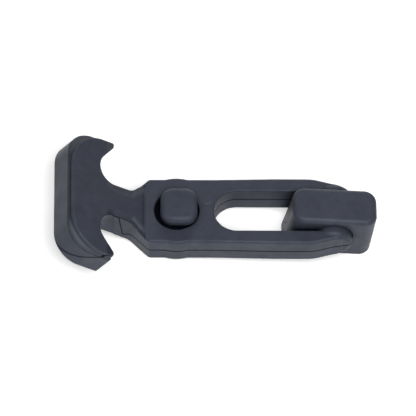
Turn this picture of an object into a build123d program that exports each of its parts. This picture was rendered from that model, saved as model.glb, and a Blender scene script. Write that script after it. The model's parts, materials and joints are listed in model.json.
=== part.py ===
from build123d import *
import os
from math import asin, atan2, cos, degrees, hypot, radians, sin, tan

os.makedirs("parts", exist_ok=True)

# A rubber T-handle draw latch: a moulded strap whose end bar turns in the eye of a moulded anchor.
# Millimetres. The latch lies on its back, its button up: +X runs from the T handle to the anchor, +Z is up.

# Strap body. Distances along the strap are measured from the axis of its end bar.
strap_thickness = 13.0
body_width = 29.8
loop_width = 30.8  # the two legs beside the slot stand a little further apart
body_length = 74.2  # from the bar's axis to the body's left shoulders
edge_radius = 1.1

# Slot, and the round bar that closes the loop, a little thicker than the strap
slot_width = 18.6
slot_reach = 48.0  # from the bar's axis to the slot's rounded end
slot_edge = 0.6
loop_end_width = 26.4
loop_taper = 8.1  # length over which the legs narrow before the bar's axis
loop_corner_radius = 6.0
bar_radius = 7.7
bar_root = 3.2  # how far the bar's full thickness runs into each leg
bar_root_radius = 2.4

# Round pad and mushroom button
button_distance = 63.1
pad_overhang = 0.65  # how far the pad stands out of the body's sides
pad_blend = 2.0
moat_radius = 9.0
moat_depth = 5.0
moat_edge = 0.4
button_offset = 0.9  # the button stands off the moat's centre, towards the slot
button_stem_radius = 5.2
button_length = 15.0
button_width = 16.2
button_corner_radius = 5.2
button_height = 5.2  # above the strap's face
button_head_thickness = 4.6
button_crown_radius = 2.4
button_rim_radius = 0.9

# Neck and T handle, which slope up from the body at a sharp crease
handle_angle = 34.0
crease_distance = 76.1
crease_radius = 0.8
heel_radius = 3.5
neck_width = 14.8
neck_start = 81.5  # from the bar's axis to the end of the shoulders' flare
neck_wall_length = 7.0
shoulder_radius = 2.2
flare_radius = 4.0
neck_step = 0.3  # the handle's neck is this much narrower on each side

# T handle, measured up the slope from the crease
handle_length = 35.2
handle_width = 55.4
handle_corner_radius = 11.5
handle_edge_radius = 0.8
pocket_radius = 7.3
pocket_position = 13.6
pocket_side_angle = 42.0
hook_tip_position = 14.4
hook_tip_width = 2.9
hook_tip_radius = 0.9
rim_width = 0.9
rim_depth = 1.9
rim_corner_radius = 14.6

# Anchor, measured from the axis of its eye, which is the axis of the strap's bar
eye_clearance = 0.3
slot_side_clearance = 1.1
anchor_bridge = 2.8  # thickness over the eye
anchor_foot = 5.4  # thickness under the eye
anchor_wall = 8.7  # thickness beyond the eye
anchor_reach = 19.5  # from the eye's axis to the stem's toe
stem_lean = 2.4
throat_left = 6.6
throat_right = 2.6
anchor_corner_radius = 5.0
anchor_crown_radius = 2.2
anchor_toe_radius = 1.4
mark_hole_radius = 0.6  # small blind hole in the stem's end
mark_hole_depth = 3.0
mark_hole_height = 9.0
pilot_radius = 1.6  # a screw from behind holds the anchor
pilot_depth = 11.0
pilot_position = 12.8

# Values that follow from the ones above
half_thickness = strap_thickness / 2
loop_end = half_thickness + 1  # the plan runs past the legs' full-round end
angle = radians(handle_angle)
eye_radius = bar_radius + eye_clearance
axis_height = eye_radius + anchor_foot
anchor_width = slot_width - 2 * slot_side_clearance
anchor_top = axis_height + eye_radius + anchor_bridge
anchor_end = eye_radius + anchor_wall

# The strap hangs on the anchor at one end and stands on its rounded heel at the other.
heel_distance = crease_distance + strap_thickness * tan(angle / 2)
heel_run = heel_distance - heel_radius * tan(angle / 2)
heel_rise = heel_radius - half_thickness
heel_swing = hypot(heel_run, heel_rise)
strap_pitch = degrees(asin((axis_height - heel_radius) / heel_swing) + atan2(heel_rise, heel_run))


def mirrored(half):
    """The whole outline from the half on one side of the strap's centre line."""
    return half + mirror(half, about=Plane.XZ)


# ---- Strap: a bent strip cut to the body's outline and to the handle's outline ----

crease = Vector(-crease_distance, 0, half_thickness)
uphill = Vector(-cos(angle), 0, sin(angle))
slope_normal = Vector(sin(angle), 0, cos(angle))
slope = Plane(origin=crease, x_dir=uphill, z_dir=slope_normal)

# Side view of the bent strip, full round at the bar
ridge = crease + uphill * handle_length
lip = ridge - slope_normal * strap_thickness
with BuildSketch(Plane.XZ) as side_view:
    with BuildLine():
        Polyline(
            (0, half_thickness),
            (crease.X, crease.Z),
            (ridge.X, ridge.Z),
            (lip.X, lip.Z),
            (-heel_distance, -half_thickness),
            (0, -half_thickness),
        )
        ThreePointArc((0, -half_thickness), (half_thickness, 0), (0, half_thickness))
    make_face()
    top_corner = side_view.vertices().sort_by_distance((crease.X, 0, crease.Z))[0]
    fillet(top_corner, crease_radius)
    heel_corner = side_view.vertices().sort_by_distance((-heel_distance, 0, -half_thickness))[0]
    fillet(heel_corner, heel_radius)
strip = extrude(side_view.sketch, amount=handle_width, both=True)

# Plan view of the body, its shoulders, the neck's lower part and the loop's end
neck_half = neck_width / 2
wall_end = neck_start + neck_wall_length
with BuildSketch(Plane.XY) as body_half:
    with BuildLine():
        Polyline(
            (-wall_end, 0),
            (-wall_end, neck_half),
            (-neck_start, neck_half),
            (-body_length, body_width / 2),
            (-slot_reach, body_width / 2),
            (-slot_reach / 2, loop_width / 2),
            (-loop_taper, loop_width / 2),
            (0, loop_end_width / 2),
            (loop_end, loop_end_width / 2 - 1),
            (loop_end, 0),
            close=True,
        )
    make_face()
    corner = body_half.vertices().sort_by_distance((-body_length, body_width / 2, 0))[0]
    fillet(corner, shoulder_radius)
    corner = body_half.vertices().sort_by_distance((-neck_start, neck_half, 0))[0]
    fillet(corner, flare_radius)
    corner = body_half.vertices().sort_by_distance((loop_end, loop_end_width / 2, 0))[0]
    fillet(corner, loop_corner_radius)
    corner = body_half.vertices().sort_by_distance((-loop_taper, loop_width / 2, 0))[0]
    fillet(corner, 3 * loop_corner_radius)
    for bend in ((-slot_reach, body_width / 2, 0), (-slot_reach / 2, loop_width / 2, 0)):
        corner = body_half.vertices().sort_by_distance(bend)[0]
        fillet(corner, 4 * loop_corner_radius)
pad = Pos(-button_distance) * Circle(body_width / 2 + pad_overhang)
outline = mirrored(body_half.sketch) + pad
pad_corners = outline.vertices().filter_by_position(
    Axis.X, -button_distance - pad_overhang * 10, -button_distance + pad_overhang * 10
)
outline = fillet(pad_corners, pad_blend)
slot_round = Pos(slot_width / 2 - slot_reach) * Circle(slot_width / 2)
slot_run = Pos(-(slot_reach - slot_width / 2) / 2) * Rectangle(slot_reach - slot_width / 2, slot_width)
outline -= slot_round + slot_run
body = extrude(outline, amount=handle_length, both=True) & strip
rims = body.edges().filter_by(Axis.Z, reverse=True)
slot_rims = rims.filter_by_position(Axis.Y, -slot_width / 2, slot_width / 2)
slot_rims = slot_rims.filter_by_position(Axis.X, -slot_reach, 0)
outer_rims = [e for e in rims if e not in slot_rims and e.center().X > 0.01 - wall_end]
body = fillet(outer_rims, edge_radius)
slot_rims = body.edges().filter_by(Axis.Z, reverse=True)
slot_rims = slot_rims.filter_by_position(Axis.Y, -slot_width / 2 - 0.01, slot_width / 2 + 0.01)
slot_rims = slot_rims.filter_by_position(Axis.X, -slot_reach - 0.01, -0.01)
body = fillet(slot_rims, slot_edge)
end_bar = Cylinder(bar_radius, slot_width + 2 * bar_root)
end_bar = fillet(end_bar.edges().filter_by(GeomType.CIRCLE), bar_root_radius)
body += Rot(X=90) * end_bar

# Outline of the neck and T handle on the sloping plane, its x axis running up the slope
handle_half_width = handle_width / 2
side_angle = radians(pocket_side_angle)
handle_neck_half = neck_half - neck_step
pocket_centre = Vector(pocket_position, handle_neck_half + pocket_radius)
pocket_end = pocket_centre + Vector(cos(side_angle), sin(side_angle)) * pocket_radius
tip_outer = Vector(hook_tip_position, handle_half_width)
tip_inner = tip_outer - Vector(0, hook_tip_width)
corner_centre = Vector(handle_length - handle_corner_radius, handle_half_width - handle_corner_radius)
with BuildSketch() as handle_half:
    with BuildLine():
        Line((0, 0), (0, handle_neck_half))
        Line((0, handle_neck_half), (pocket_position, handle_neck_half))
        CenterArc(pocket_centre, pocket_radius, -90, 90 + pocket_side_angle)
        Line(pocket_end, tip_inner)
        Line(tip_inner, tip_outer)
        Line(tip_outer, (corner_centre.X, handle_half_width))
        CenterArc(corner_centre, handle_corner_radius, 0, 90)
        Line((handle_length, corner_centre.Y), (handle_length, 0))
        Line((handle_length, 0), (0, 0))
    make_face()
tip_corners = handle_half.vertices().filter_by_position(Axis.X, hook_tip_position, hook_tip_position)
handle_plan = mirrored(fillet(tip_corners.filter_by(lambda v: v.Y > neck_width), hook_tip_radius))

# The handle's flat face stops at a ridge, and a lower rim runs round it from hook to hook
face_reach = handle_length - rim_width
face_half_width = handle_half_width - rim_width
face_corner = Vector(face_reach - rim_corner_radius, face_half_width - rim_corner_radius)
with BuildSketch() as face_half:
    with BuildLine():
        Line((0, 0), (0, face_half_width))
        Line((0, face_half_width), (face_corner.X, face_half_width))
        CenterArc(face_corner, rim_corner_radius, 0, 90)
        Line((face_reach, face_corner.Y), (face_reach, 0))
        Line((face_reach, 0), (0, 0))
    make_face()
face_outline = handle_half.sketch & face_half.sketch
tip_corners = face_outline.vertices().filter_by_position(Axis.X, hook_tip_position, hook_tip_position)
face_plan = mirrored(fillet(tip_corners.filter_by(lambda v: v.Y > neck_width), hook_tip_radius))
face_thickness = rim_depth + 2 * handle_edge_radius
face_layer = extrude(slope * face_plan, amount=-face_thickness)
rim_plane = slope.offset(-rim_depth)
rim_layer = extrude(rim_plane * handle_plan, amount=rim_depth - strap_thickness)


def climb(shape):
    """How far up the slope from the crease a shape's centre lies."""
    return (shape.center() - crease).dot(uphill)


def depth(shape):
    """How far below the handle's face a shape's centre lies."""
    return -(shape.center() - crease).dot(slope_normal)


face_edges = [e for e in face_layer.edges() if climb(e) > 0.1 and depth(e) < face_thickness - 0.1]
face_layer = fillet(face_edges, handle_edge_radius)
rim_edges = [e for e in rim_layer.edges() if climb(e) > 0.1]
rim_layer = fillet(rim_edges, handle_edge_radius)
handle = rim_layer + face_layer
strap = body + handle

# Mushroom button in its moat
moat_top = Pos(-button_distance, 0, half_thickness)
button_base = moat_top * Pos(button_offset)
strap -= moat_top * Pos(Z=-moat_depth / 2) * Cylinder(moat_radius, moat_depth)
strap -= moat_top * Pos(Z=-moat_edge / 2) * Cone(moat_radius, moat_radius + moat_edge, moat_edge)
stem_height = moat_depth + button_height - button_head_thickness / 2
stem = Pos(Z=stem_height / 2 - moat_depth) * Cylinder(button_stem_radius, stem_height)
head = extrude(RectangleRounded(button_length, button_width, button_corner_radius), button_head_thickness)
head = fillet(head.faces().sort_by(Axis.Z)[-1].edges(), button_crown_radius)
head = fillet(head.faces().sort_by(Axis.Z)[0].edges(), button_rim_radius)
button = stem + Pos(Z=button_height - button_head_thickness) * head
strap += button_base * button

# ---- Anchor: a block with an eye for the bar, open underneath so that the bar can be pressed in ----

toe = -anchor_reach
with BuildSketch(Plane.XZ) as block_view:
    with BuildLine():
        Polyline(
            (toe, -axis_height),
            (toe + stem_lean, anchor_top - axis_height),
            (anchor_end, anchor_top - axis_height),
            (anchor_end, -axis_height),
            close=True,
        )
    make_face()
anchor = extrude(block_view.sketch, amount=anchor_width / 2, both=True)
uprights = anchor.edges().filter_by(lambda e: abs(e.tangent_at(0.5).Z) > 0.9)
anchor = fillet(uprights, anchor_corner_radius)
crown = anchor.faces().sort_by(Axis.Z)[-1]
anchor = fillet(crown.edges(), anchor_crown_radius)
base = anchor.faces().sort_by(Axis.Z)[0]
anchor = fillet(base.edges(), anchor_toe_radius)
eye = Rot(X=90) * Cylinder(eye_radius, 2 * anchor_width)
throat_width = throat_left + throat_right
throat = Pos((throat_right - throat_left) / 2, 0, -axis_height / 2) * Box(throat_width, 2 * anchor_width, axis_height)
anchor -= eye + throat
mark_hole = Pos(toe, 0, mark_hole_height - axis_height) * Rot(Y=90) * Cylinder(mark_hole_radius, 2 * mark_hole_depth)
pilot_hole = Pos(-pilot_position, 0, -axis_height) * Cylinder(pilot_radius, 2 * pilot_depth)
anchor -= mark_hole + pilot_hole

# ---- Both pieces in the latch's frame: base on Z = 0, centred over its length ----

strap = Rot(Y=-strap_pitch) * strap
left_end = strap.bounding_box().min.X
eye_x = -(left_end + anchor_end) / 2
in_place = Pos(eye_x, 0, axis_height)
strap = in_place * strap
anchor = in_place * anchor

export_step(strap, "parts/strap.step")
export_step(anchor, "parts/anchor.step")
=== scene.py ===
import json
from math import cos, radians, sin

import bpy
from mathutils import Matrix, Vector


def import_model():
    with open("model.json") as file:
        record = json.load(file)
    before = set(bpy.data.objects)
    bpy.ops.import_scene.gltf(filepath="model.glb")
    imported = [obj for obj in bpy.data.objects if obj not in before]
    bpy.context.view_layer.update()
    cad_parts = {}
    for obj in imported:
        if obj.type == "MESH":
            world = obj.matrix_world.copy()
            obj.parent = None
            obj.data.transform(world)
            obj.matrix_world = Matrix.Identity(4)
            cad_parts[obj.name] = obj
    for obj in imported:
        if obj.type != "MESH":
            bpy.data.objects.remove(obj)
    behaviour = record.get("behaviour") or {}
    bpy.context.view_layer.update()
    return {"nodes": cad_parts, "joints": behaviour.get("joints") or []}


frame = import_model()
nodes = frame["nodes"]
bpy.ops.object.select_all(action="DESELECT")

# ---- Strap ----
# One moulding in black rubber: body, loop, button and T handle. It has a fine matt skin, a little mottled,
# and the mould's parting line all round. The anchor's eye closes round its end bar.

strap = nodes["strap"]
pivot = Vector(frame["joints"][0]["pos_m"])
STRAP_PITCH = radians(5.02)  # the strap lies turned by this about the axis of its end bar
HANDLE_ANGLE = radians(34)
along = Vector((cos(STRAP_PITCH), 0, sin(STRAP_PITCH)))
up = Vector((-sin(STRAP_PITCH), 0, cos(STRAP_PITCH)))
sideways = Vector((0, 1, 0))
uphill = up * sin(HANDLE_ANGLE) - along * cos(HANDLE_ANGLE)
out_of_face = along * sin(HANDLE_ANGLE) + up * cos(HANDLE_ANGLE)

# Lengths of the strap in millimetres. A run is measured along it from the axis of its end bar, a level up
# from that axis, a climb up the handle's slope from the crease, a depth down from the handle's face, and a
# side from the strap's middle.
HALF_THICKNESS = 6.5
MOAT_RUN = 63.1
MOAT_RADIUS = 9.0
CREASE_RUN = 76.1
NECK_RUN = 81.5
NECK_HALF_WIDTH = 7.4
HANDLE_LENGTH = 35.2
HANDLE_HALF_WIDTH = 27.7
RIM_WIDTH = 0.9
RIM_CORNER_RADIUS = 14.6
corner_side = HANDLE_HALF_WIDTH - RIM_WIDTH - RIM_CORNER_RADIUS  # the rounded corner's centre
corner_climb = HANDLE_LENGTH - RIM_WIDTH - RIM_CORNER_RADIUS
crease = pivot - along * (CREASE_RUN / 1000) + up * (HALF_THICKNESS / 1000)

# Painted shade: crevices, the moat round the button and the crease go towards this black, and their gloss
# falls. The parting line takes the same black.
SHADE_AND_SEAM_BLACK = (0.006, 0.007, 0.012, 1.0)
CREVICE_REACH = 0.005  # how near, in metres, another face must be to darken a spot
CREVICE_SHUT = 0.25  # how open a spot is where it is black, and where it has its full colour
CREVICE_OPEN = 0.8
DUST_GREY = (0.13, 0.135, 0.15, 1.0)
GLOSS = 0.3
GLOSS_TINT = (0.78, 0.85, 1.0, 1.0)


def stretch(tree, value, low, high, to_low=0.0, to_high=1.0):
    """Map Range: low..high becomes to_low..to_high, and what lies outside is clamped."""
    node = tree.nodes.new("ShaderNodeMapRange")
    node.inputs["From Min"].default_value = low
    node.inputs["From Max"].default_value = high
    node.inputs["To Min"].default_value = to_low
    node.inputs["To Max"].default_value = to_high
    tree.links.new(value, node.inputs["Value"])
    return node.outputs["Result"]


def blend_colours(tree, factor, first, second):
    """Mix two colours (sockets or values) by a factor socket."""
    node = tree.nodes.new("ShaderNodeMix")
    node.data_type = "RGBA"
    tree.links.new(factor, node.inputs[0])
    for socket, value in ((node.inputs[6], first), (node.inputs[7], second)):
        if isinstance(value, bpy.types.NodeSocket):
            tree.links.new(value, socket)
        else:
            socket.default_value = value
    return node.outputs[2]


def combine(tree, operation, first, second):
    """One Math node on two sockets or numbers."""
    node = tree.nodes.new("ShaderNodeMath")
    node.operation = operation
    for socket, value in zip(node.inputs, (first, second)):
        if isinstance(value, bpy.types.NodeSocket):
            tree.links.new(value, socket)
        else:
            socket.default_value = value
    return node.outputs[0]


# Moulded rubber skin, shared by the two pieces: soft mottle, fine grain and stray pale specks of dust.
# The paler the mottle, the smoother the skin.
MOTTLE_LOW = 0.3
MOTTLE_HIGH = 0.7
DUST_LOW = 0.62
DUST_HIGH = 0.78
DUST_SHARE = 0.35
ROUGHEST = 0.58
SMOOTHEST = 0.48
MOTTLE_RELIEF = 0.4
GRAIN_RELIEF = 0.6
skin = bpy.data.node_groups.new("moulded_rubber_skin", "ShaderNodeTree")
skin.interface.new_socket("Vector", in_out="INPUT", socket_type="NodeSocketVector")
for name in ("Deep", "Pale"):
    skin.interface.new_socket(name, in_out="INPUT", socket_type="NodeSocketColor")
for name in ("Mottle Scale", "Grain Scale"):
    skin.interface.new_socket(name, in_out="INPUT", socket_type="NodeSocketFloat")
skin.interface.new_socket("Color", in_out="OUTPUT", socket_type="NodeSocketColor")
for name in ("Roughness", "Height"):
    skin.interface.new_socket(name, in_out="OUTPUT", socket_type="NodeSocketFloat")
given = skin.nodes.new("NodeGroupInput").outputs
result = skin.nodes.new("NodeGroupOutput").inputs


def scaled_noise(scale_socket, detail, roughness):
    """Noise in the skin group, at the scale that a material gives."""
    node = skin.nodes.new("ShaderNodeTexNoise")
    node.inputs["Detail"].default_value = detail
    node.inputs["Roughness"].default_value = roughness
    skin.links.new(given["Vector"], node.inputs["Vector"])
    skin.links.new(scale_socket, node.inputs["Scale"])
    return node.outputs["Fac"]


mottle = scaled_noise(given["Mottle Scale"], 4.0, 0.6)
grain = scaled_noise(given["Grain Scale"], 2.0, 0.7)
cloud = stretch(skin, mottle, MOTTLE_LOW, MOTTLE_HIGH)
toned = blend_colours(skin, cloud, given["Deep"], given["Pale"])
speckle = stretch(skin, grain, DUST_LOW, DUST_HIGH, 0.0, DUST_SHARE)
dusted = blend_colours(skin, speckle, toned, DUST_GREY)
skin.links.new(dusted, result["Color"])
roughness = stretch(skin, mottle, MOTTLE_LOW, MOTTLE_HIGH, ROUGHEST, SMOOTHEST)
skin.links.new(roughness, result["Roughness"])
mottle_relief = combine(skin, "MULTIPLY", mottle, MOTTLE_RELIEF)
grain_relief = combine(skin, "MULTIPLY", grain, GRAIN_RELIEF)
height = combine(skin, "ADD", mottle_relief, grain_relief)
skin.links.new(height, result["Height"])


def rubber(name, deep, pale, mottle_scale, grain_scale):
    """A material of moulded rubber with painted shade, which darkens and dulls it in its crevices."""
    material = bpy.data.materials.new(name)
    material.use_nodes = True
    tree = material.node_tree
    shader = tree.nodes["Principled BSDF"]
    shader.inputs["Specular Tint"].default_value = GLOSS_TINT
    coordinates = tree.nodes.new("ShaderNodeTexCoord").outputs["Object"]
    group = tree.nodes.new("ShaderNodeGroup")
    group.node_tree = skin
    tree.links.new(coordinates, group.inputs["Vector"])
    group.inputs["Deep"].default_value = (*deep, 1.0)
    group.inputs["Pale"].default_value = (*pale, 1.0)
    group.inputs["Mottle Scale"].default_value = mottle_scale
    group.inputs["Grain Scale"].default_value = grain_scale
    bump = tree.nodes.new("ShaderNodeBump")
    bump.inputs["Strength"].default_value = 0.25
    bump.inputs["Distance"].default_value = 0.0002
    tree.links.new(group.outputs["Height"], bump.inputs["Height"])
    tree.links.new(group.outputs["Roughness"], shader.inputs["Roughness"])
    tree.links.new(bump.outputs["Normal"], shader.inputs["Normal"])
    # Painted shade: where other faces are near, the colour goes towards black and the gloss falls
    occlusion = tree.nodes.new("ShaderNodeAmbientOcclusion")
    occlusion.samples = 8
    occlusion.inputs["Distance"].default_value = CREVICE_REACH
    openness = stretch(tree, occlusion.outputs["AO"], CREVICE_SHUT, CREVICE_OPEN)
    crevice_shaded = blend_colours(tree, openness, SHADE_AND_SEAM_BLACK, group.outputs["Color"])
    tree.links.new(crevice_shaded, shader.inputs["Base Color"])
    tree.links.new(combine(tree, "MULTIPLY", openness, GLOSS), shader.inputs["Specular IOR Level"])
    return material


def measure(tree, vector, axis, origin):
    """How many millimetres a point lies from the origin along an axis."""
    node = tree.nodes.new("ShaderNodeVectorMath")
    node.operation = "DOT_PRODUCT"
    node.inputs[1].default_value = axis * 1000
    tree.links.new(vector, node.inputs[0])
    return combine(tree, "SUBTRACT", node.outputs["Value"], axis.dot(origin) * 1000)


def after(tree, value, place, soft):
    """A mask that turns from 0 to 1 where the value passes a place."""
    return stretch(tree, value, place - soft, place + soft)


def before(tree, value, place, soft):
    """A mask that turns from 1 to 0 where the value passes a place."""
    return stretch(tree, value, place - soft, place + soft, 1.0, 0.0)


def line_at(tree, value, place, half_width):
    """A mask that is 1 only where the value is near a place."""
    off = combine(tree, "ABSOLUTE", combine(tree, "SUBTRACT", value, place), 0.0)
    return before(tree, off, half_width, half_width / 2)


def product(tree, first, *rest):
    """All the values multiplied."""
    for value in rest:
        first = combine(tree, "MULTIPLY", first, value)
    return first


def hypotenuse(tree, first, second):
    """How far a point lies from a centre, from its two distances."""
    squares = [combine(tree, "POWER", value, 2.0) for value in (first, second)]
    return combine(tree, "SQRT", combine(tree, "ADD", *squares), 0.0)


# The parting line of the mould, as a mask. It runs at mid-thickness round the body, the slot and the neck,
# rises in a short slanted step on each side of the neck, follows the top edge in the pockets, and crosses
# the handle's sides on the level of its end face's lower edge.
LONG_SEAM = 0.32  # half widths of the line
SHORT_SEAM = 0.22
SEAM_TOP_DEPTH = 0.6
STEP_RUN = 84.8
STEP_END_RUN = 87.1
STEP_SLANT = 0.126
POCKET_RUN = 86.35
POCKET_CLIMB = 21.4
POCKET_SIDE = 24.9
POCKET_SEAM_DEPTH = 0.9
HANDLE_SEAM_RUN = 87.2
HANDLE_SEAM_LEVEL = 15.2
HANDLE_SEAM_SIDE = 25.6
HANDLE_SEAM_CLIMB = 22.1
parting = bpy.data.node_groups.new("parting_line", "ShaderNodeTree")
parting.interface.new_socket("Vector", in_out="INPUT", socket_type="NodeSocketVector")
parting.interface.new_socket("Mask", in_out="OUTPUT", socket_type="NodeSocketFloat")
point = parting.nodes.new("NodeGroupInput").outputs["Vector"]
level = measure(parting, point, up, pivot)
run = measure(parting, point, -along, pivot)
climb = measure(parting, point, uphill, crease)
depth = measure(parting, point, -out_of_face, crease)
side = combine(parting, "ABSOLUTE", measure(parting, point, sideways, pivot), 0.0)
below_face = after(parting, depth, SEAM_TOP_DEPTH, soft=0.1)
round_body = product(
    parting,
    line_at(parting, level, 0.0, LONG_SEAM),
    before(parting, run, STEP_RUN, soft=0.1),
)
slant = combine(parting, "SUBTRACT", run, combine(parting, "MULTIPLY", level, STEP_SLANT))
step = product(
    parting,
    line_at(parting, slant, STEP_RUN, SHORT_SEAM),
    after(parting, level, 0.0, soft=0.1),
    below_face,
    before(parting, run, STEP_END_RUN, soft=0.1),
)
in_pocket = product(
    parting,
    line_at(parting, depth, POCKET_SEAM_DEPTH, SHORT_SEAM),
    after(parting, run, POCKET_RUN, soft=0.15),
    before(parting, climb, POCKET_CLIMB, soft=0.2),
    before(parting, side, POCKET_SIDE, soft=0.3),
)
past_hooks = after(parting, side, HANDLE_SEAM_SIDE, soft=0.2)
past_pockets = after(parting, climb, HANDLE_SEAM_CLIMB, soft=0.3)
round_handle = product(
    parting,
    line_at(parting, level, HANDLE_SEAM_LEVEL, LONG_SEAM),
    below_face,
    combine(parting, "MAXIMUM", past_hooks, past_pockets),
    after(parting, run, HANDLE_SEAM_RUN, soft=0.2),
)
seams = round_body
for stretch_of_seam in (step, in_pocket, round_handle):
    seams = combine(parting, "MAXIMUM", seams, stretch_of_seam)
parting.links.new(seams, parting.nodes.new("NodeGroupOutput").inputs["Mask"])

# Soft forms and marks of the strap, as masks. Height, in millimetres, rounds the neck's edges off broadly
# and slopes the handle's rim outwards. Smooth holds the painted crevice shade back from the rim's step, and
# a painted light pales the rim towards its sides. The crease mask is painted shade along the fold between
# body and handle, the moat mask painted shade round the button, and Scuff a small pale arc between the
# slot's rounded end and the moat.
softening = bpy.data.node_groups.new("softened_edges", "ShaderNodeTree")
softening.interface.new_socket("Vector", in_out="INPUT", socket_type="NodeSocketVector")
point = softening.nodes.new("NodeGroupInput").outputs["Vector"]
level = measure(softening, point, up, pivot)
run = measure(softening, point, -along, pivot)
climb = measure(softening, point, uphill, crease)
depth = measure(softening, point, -out_of_face, crease)
offset = measure(softening, point, sideways, pivot)
side = combine(softening, "ABSOLUTE", offset, 0.0)

# The edges of the neck and of the shoulders' flare. The last two values give the direction across the flare.
NECK_BEVEL_WIDTH = 4.2
NECK_BEVEL_DROP = 2.6
NECK_BEVEL_START = 76.5
NECK_BEVEL_END = 89.5
NECK_BEVEL_DEPTH = 0.75
FLARE_ACROSS = 0.7
FLARE_ALONG = 0.717
past_neck = combine(softening, "SUBTRACT", side, NECK_HALF_WIDTH)
past_shoulder = combine(softening, "SUBTRACT", run, NECK_RUN)
past_flare = combine(
    softening,
    "ADD",
    combine(softening, "MULTIPLY", past_neck, FLARE_ACROSS),
    combine(softening, "MULTIPLY", past_shoulder, FLARE_ALONG),
)
past_edge = combine(softening, "MINIMUM", past_flare, past_neck)
bevel = stretch(softening, past_edge, -NECK_BEVEL_WIDTH, 0.0)
neck_round = product(
    softening,
    bevel,
    bevel,
    after(softening, run, NECK_BEVEL_START, soft=1.0),
    before(softening, run, NECK_BEVEL_END, soft=1.5),
    before(softening, depth, NECK_BEVEL_DEPTH, soft=0.25),
)

# The handle's rim, by how far it lies beyond the centres of its rounded corners
RIM_SLOPE_WIDTH = 3.0
RIM_SLOPE_DROP = 1.2
RIM_TOP_DEPTH = 1.45
RIM_FOOT_DEPTH = 2.6
LIFT_TOP_DEPTH = 0.6
LIFT_FOOT_DEPTH = 2.5
SMOOTH_WIDTH = 6.0
SMOOTH_LEAST = 0.55
out_across = combine(softening, "MAXIMUM", combine(softening, "SUBTRACT", side, corner_side), 0.0)
out_along = combine(softening, "MAXIMUM", combine(softening, "SUBTRACT", climb, corner_climb), 0.0)
reach = hypotenuse(softening, out_across, out_along)
rim_end = RIM_CORNER_RADIUS + RIM_SLOPE_WIDTH
rim_slope = product(
    softening,
    stretch(softening, reach, RIM_CORNER_RADIUS, rim_end, 0.0, RIM_SLOPE_WIDTH),
    after(softening, depth, RIM_TOP_DEPTH, soft=0.15),
    before(softening, depth, RIM_FOOT_DEPTH, soft=0.2),
)
smooth = product(
    softening,
    after(softening, reach, RIM_CORNER_RADIUS - 0.3, soft=0.3),
    stretch(softening, out_across, 0.0, SMOOTH_WIDTH, SMOOTH_LEAST, 1.0),
)
# Painted light: the rim's colour pales towards its sides
painted_rim_light = product(
    softening,
    after(softening, reach, RIM_CORNER_RADIUS - 0.5, soft=0.3),
    after(softening, out_across, 4.5, soft=2.5),
    after(softening, depth, LIFT_TOP_DEPTH, soft=0.2),
    before(softening, depth, LIFT_FOOT_DEPTH, soft=0.3),
)

# Painted shade: the moat's dark, which fades upwards over the button's sides, and a dark along the fold at
# the crease
MOAT_DARK_LEVEL = 4.5
MOAT_CLEAR_LEVEL = 10.2
FOLD_RUN = 76.3
FOLD_REACH = 1.1
FOLD_HALF_LENGTH = 7.5
from_button = hypotenuse(softening, side, combine(softening, "SUBTRACT", run, MOAT_RUN))
moat_shade = product(
    softening,
    before(softening, from_button, MOAT_RADIUS, soft=0.2),
    stretch(softening, level, MOAT_DARK_LEVEL, MOAT_CLEAR_LEVEL, 1.0, 0.0),
)
crease_shade = product(
    softening,
    stretch(softening, run, FOLD_RUN - FOLD_REACH, FOLD_RUN),
    stretch(softening, run, FOLD_RUN, FOLD_RUN + FOLD_REACH, 1.0, 0.0),
    before(softening, side, FOLD_HALF_LENGTH, soft=1.0),
)

# The scuff, a part of a ring broken up by fine spots
SCUFF_RUN = 50.6
SCUFF_SIDE = 4.3
SCUFF_RADIUS = 1.2
SPOT_SCALE = 900.0
spots = softening.nodes.new("ShaderNodeTexNoise")
spots.inputs["Scale"].default_value = SPOT_SCALE
softening.links.new(point, spots.inputs["Vector"])
past_scuff = combine(softening, "SUBTRACT", offset, SCUFF_SIDE)
from_scuff = hypotenuse(softening, past_scuff, combine(softening, "SUBTRACT", run, SCUFF_RUN))
scuff = product(
    softening,
    before(softening, past_scuff, -0.3, soft=0.9),
    stretch(softening, from_scuff, SCUFF_RADIUS - 0.3, SCUFF_RADIUS),
    stretch(softening, from_scuff, SCUFF_RADIUS, SCUFF_RADIUS + 0.4, 1.0, 0.0),
    stretch(softening, spots.outputs["Fac"], 0.4, 0.55),
)

height = combine(
    softening,
    "ADD",
    combine(softening, "MULTIPLY", neck_round, -NECK_BEVEL_DROP),
    combine(softening, "MULTIPLY", rim_slope, -RIM_SLOPE_DROP),
)
masks = {"Height": height, "Smooth": smooth, "Crease Shade": crease_shade, "Scuff": scuff, "Moat Shade": moat_shade, "Lift": painted_rim_light}
for name in masks:
    softening.interface.new_socket(name, in_out="OUTPUT", socket_type="NodeSocketFloat")
outputs = softening.nodes.new("NodeGroupOutput")
for name, mask in masks.items():
    softening.links.new(mask, outputs.inputs[name])

# The strap's own rubber: the shared skin, with the masks laid over it
SCUFF_GREY = (0.11, 0.115, 0.14, 1.0)
RIM_LIGHT_GREY = (0.06, 0.065, 0.08, 1.0)
strap_rubber = rubber(
    "strap_rubber",
    deep=(0.029, 0.0325, 0.0455),
    pale=(0.039, 0.043, 0.059),
    mottle_scale=160.0,
    grain_scale=2600.0,
)
tree = strap_rubber.node_tree
shader = tree.nodes["Principled BSDF"]
place = tree.nodes["Texture Coordinate"].outputs["Object"]
edges = tree.nodes.new("ShaderNodeGroup")
edges.node_tree = softening
tree.links.new(place, edges.inputs["Vector"])
seam = tree.nodes.new("ShaderNodeGroup")
seam.node_tree = parting
tree.links.new(place, seam.inputs["Vector"])
NO_REACH = 0.0001  # metres, too short for any crevice
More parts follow.
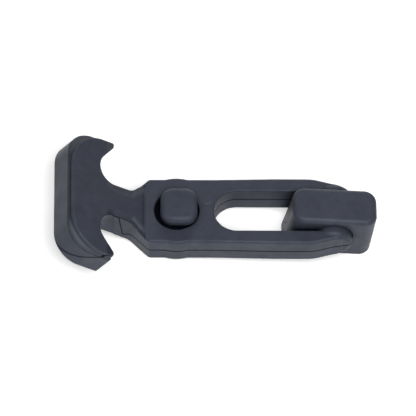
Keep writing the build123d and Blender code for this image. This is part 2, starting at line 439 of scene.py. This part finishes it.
# The painted crevice shade reaches less far on the handle's rim
shade_reach = stretch(tree, edges.outputs["Smooth"], 0.0, 1.0, CREVICE_REACH, NO_REACH)
tree.links.new(shade_reach, tree.nodes["Ambient Occlusion"].inputs["Distance"])
crevice_shaded = shader.inputs["Base Color"].links[0].from_socket
scuff_share = combine(tree, "MULTIPLY", edges.outputs["Scuff"], 0.75)
scuffed = blend_colours(tree, scuff_share, crevice_shaded, SCUFF_GREY)
# Painted light on the handle's rim
rim_light_share = combine(tree, "MULTIPLY", edges.outputs["Lift"], 0.8)
rim_lit = blend_colours(tree, rim_light_share, scuffed, RIM_LIGHT_GREY)
# Painted shade in the crease and round the button, and the dark parting line, all towards black
fold_shade = combine(tree, "MULTIPLY", edges.outputs["Crease Shade"], 0.4)
shade = combine(tree, "MAXIMUM", fold_shade, edges.outputs["Moat Shade"])
plain = combine(tree, "SUBTRACT", 1.0, combine(tree, "MAXIMUM", seam.outputs["Mask"], shade))
tree.links.new(blend_colours(tree, plain, SHADE_AND_SEAM_BLACK, rim_lit), shader.inputs["Base Color"])
# The gloss falls with the painted shade and on the parting line
gloss = shader.inputs["Specular IOR Level"].links[0].from_socket
tree.links.new(combine(tree, "MULTIPLY", gloss, plain), shader.inputs["Specular IOR Level"])
rounding = tree.nodes.new("ShaderNodeBump")
rounding.inputs["Distance"].default_value = 0.001  # a height of 1 stands for a millimetre
tree.links.new(edges.outputs["Height"], rounding.inputs["Height"])
tree.links.new(rounding.outputs["Normal"], tree.nodes["Bump"].inputs["Normal"])
strap.data.materials.clear()
strap.data.materials.append(strap_rubber)

# ---- Anchor ----
# A separate block moulded in rubber: an eye for the strap's bar, a stem with a tiny hole in its end, and a
# flat base. It is taken to be held to its panel by a screw from behind.

anchor = nodes["anchor"]
# Its rubber has the same painted shade in its crevices
anchor_rubber = rubber(
    "anchor_rubber",
    deep=(0.0305, 0.034, 0.0475),
    pale=(0.0405, 0.0445, 0.061),
    mottle_scale=190.0,
    grain_scale=2400.0,
)
anchor.data.materials.clear()
anchor.data.materials.append(anchor_rubber)

# ---- Floor ----
# A plain white studio sheet, which the latch lies on. It glows a little for the camera and in reflections,
# so that it shows white without more light on the latch.

bpy.ops.mesh.primitive_plane_add(size=6.0, location=(0, 0, 0))
floor = bpy.context.object
floor.name = "floor"
paper = bpy.data.materials.new("white_paper")
paper.use_nodes = True
tree = paper.node_tree
tree.nodes["Principled BSDF"].inputs["Base Color"].default_value = (0.86, 0.86, 0.86, 1.0)
tree.nodes["Principled BSDF"].inputs["Roughness"].default_value = 0.9
tree.nodes["Principled BSDF"].inputs["Specular IOR Level"].default_value = 0.0
SHOWN_GLOW = 0.35
MIRRORED_GLOW = 0.5
white = tree.nodes.new("ShaderNodeEmission")
seen = tree.nodes.new("ShaderNodeLightPath")
shown = combine(tree, "MULTIPLY", seen.outputs["Is Camera Ray"], SHOWN_GLOW)
mirrored = combine(tree, "MULTIPLY", seen.outputs["Is Glossy Ray"], MIRRORED_GLOW)
tree.links.new(combine(tree, "ADD", shown, mirrored), white.inputs["Strength"])
both = tree.nodes.new("ShaderNodeAddShader")
tree.links.new(tree.nodes["Principled BSDF"].outputs[0], both.inputs[0])
tree.links.new(white.outputs[0], both.inputs[1])
tree.links.new(both.outputs[0], tree.nodes["Material Output"].inputs["Surface"])
floor.data.materials.append(paper)

# ---- Light ----
# Soft studio light: a strong panel high in front, weaker ones at the left and low behind, and a dim white
# room. The floor's own glow adds to what the rubber mirrors.

world = bpy.data.worlds.new("studio")
bpy.context.scene.world = world
world.use_nodes = True
world.node_tree.nodes["Background"].inputs["Color"].default_value = (1.0, 1.0, 1.0, 1.0)
world.node_tree.nodes["Background"].inputs["Strength"].default_value = 0.06


def panel(name, azimuth, elevation, distance, size, watts):
    """An area lamp that faces the latch."""
    turned = radians(azimuth)
    raised = radians(elevation)
    place = Vector((sin(turned) * cos(raised), -cos(turned) * cos(raised), sin(raised))) * distance
    bpy.ops.object.light_add(type="AREA", location=place)
    lamp = bpy.context.object
    lamp.name = name
    lamp.data.energy = watts
    lamp.data.shape = "SQUARE"
    lamp.data.size = size
    lamp.rotation_euler = (-place).to_track_quat("-Z", "Y").to_euler()


panel("front", azimuth=12, elevation=60, distance=1.3, size=0.8, watts=18.0)
panel("left", azimuth=-75, elevation=50, distance=1.3, size=0.8, watts=4.0)
panel("behind", azimuth=176, elevation=26, distance=1.3, size=0.6, watts=5.0)

# ---- Camera ----
# It looks down on the latch from the front and a little from the left, far off through a long lens, and is
# rolled by about eleven degrees.

CAMERA_AZIMUTH = radians(-10.22)
CAMERA_ELEVATION = radians(57.19)
CAMERA_ROLL = radians(11.49)
CAMERA_DISTANCE = 1.8084
SLID_ACROSS = -0.0009
SLID_UP = 0.00924
across = Vector((cos(CAMERA_AZIMUTH), sin(CAMERA_AZIMUTH), 0.0))
towards = Vector((sin(CAMERA_AZIMUTH) * cos(CAMERA_ELEVATION),
                  -cos(CAMERA_AZIMUTH) * cos(CAMERA_ELEVATION), sin(CAMERA_ELEVATION)))
upward = towards.cross(across)
across_rolled = across * cos(CAMERA_ROLL) + upward * sin(CAMERA_ROLL)
upward_rolled = upward * cos(CAMERA_ROLL) - across * sin(CAMERA_ROLL)
view_from = across_rolled * SLID_ACROSS + upward_rolled * SLID_UP + towards * CAMERA_DISTANCE
turn = Matrix((across_rolled, upward_rolled, towards)).transposed()
bpy.ops.object.camera_add(location=view_from, rotation=turn.to_euler())
camera = bpy.context.object
camera.data.lens = 386.2
camera.data.sensor_width = 36.0
camera.data.clip_end = 10.0
bpy.context.scene.camera = camera
bpy.context.scene.view_settings.view_transform = "Standard"
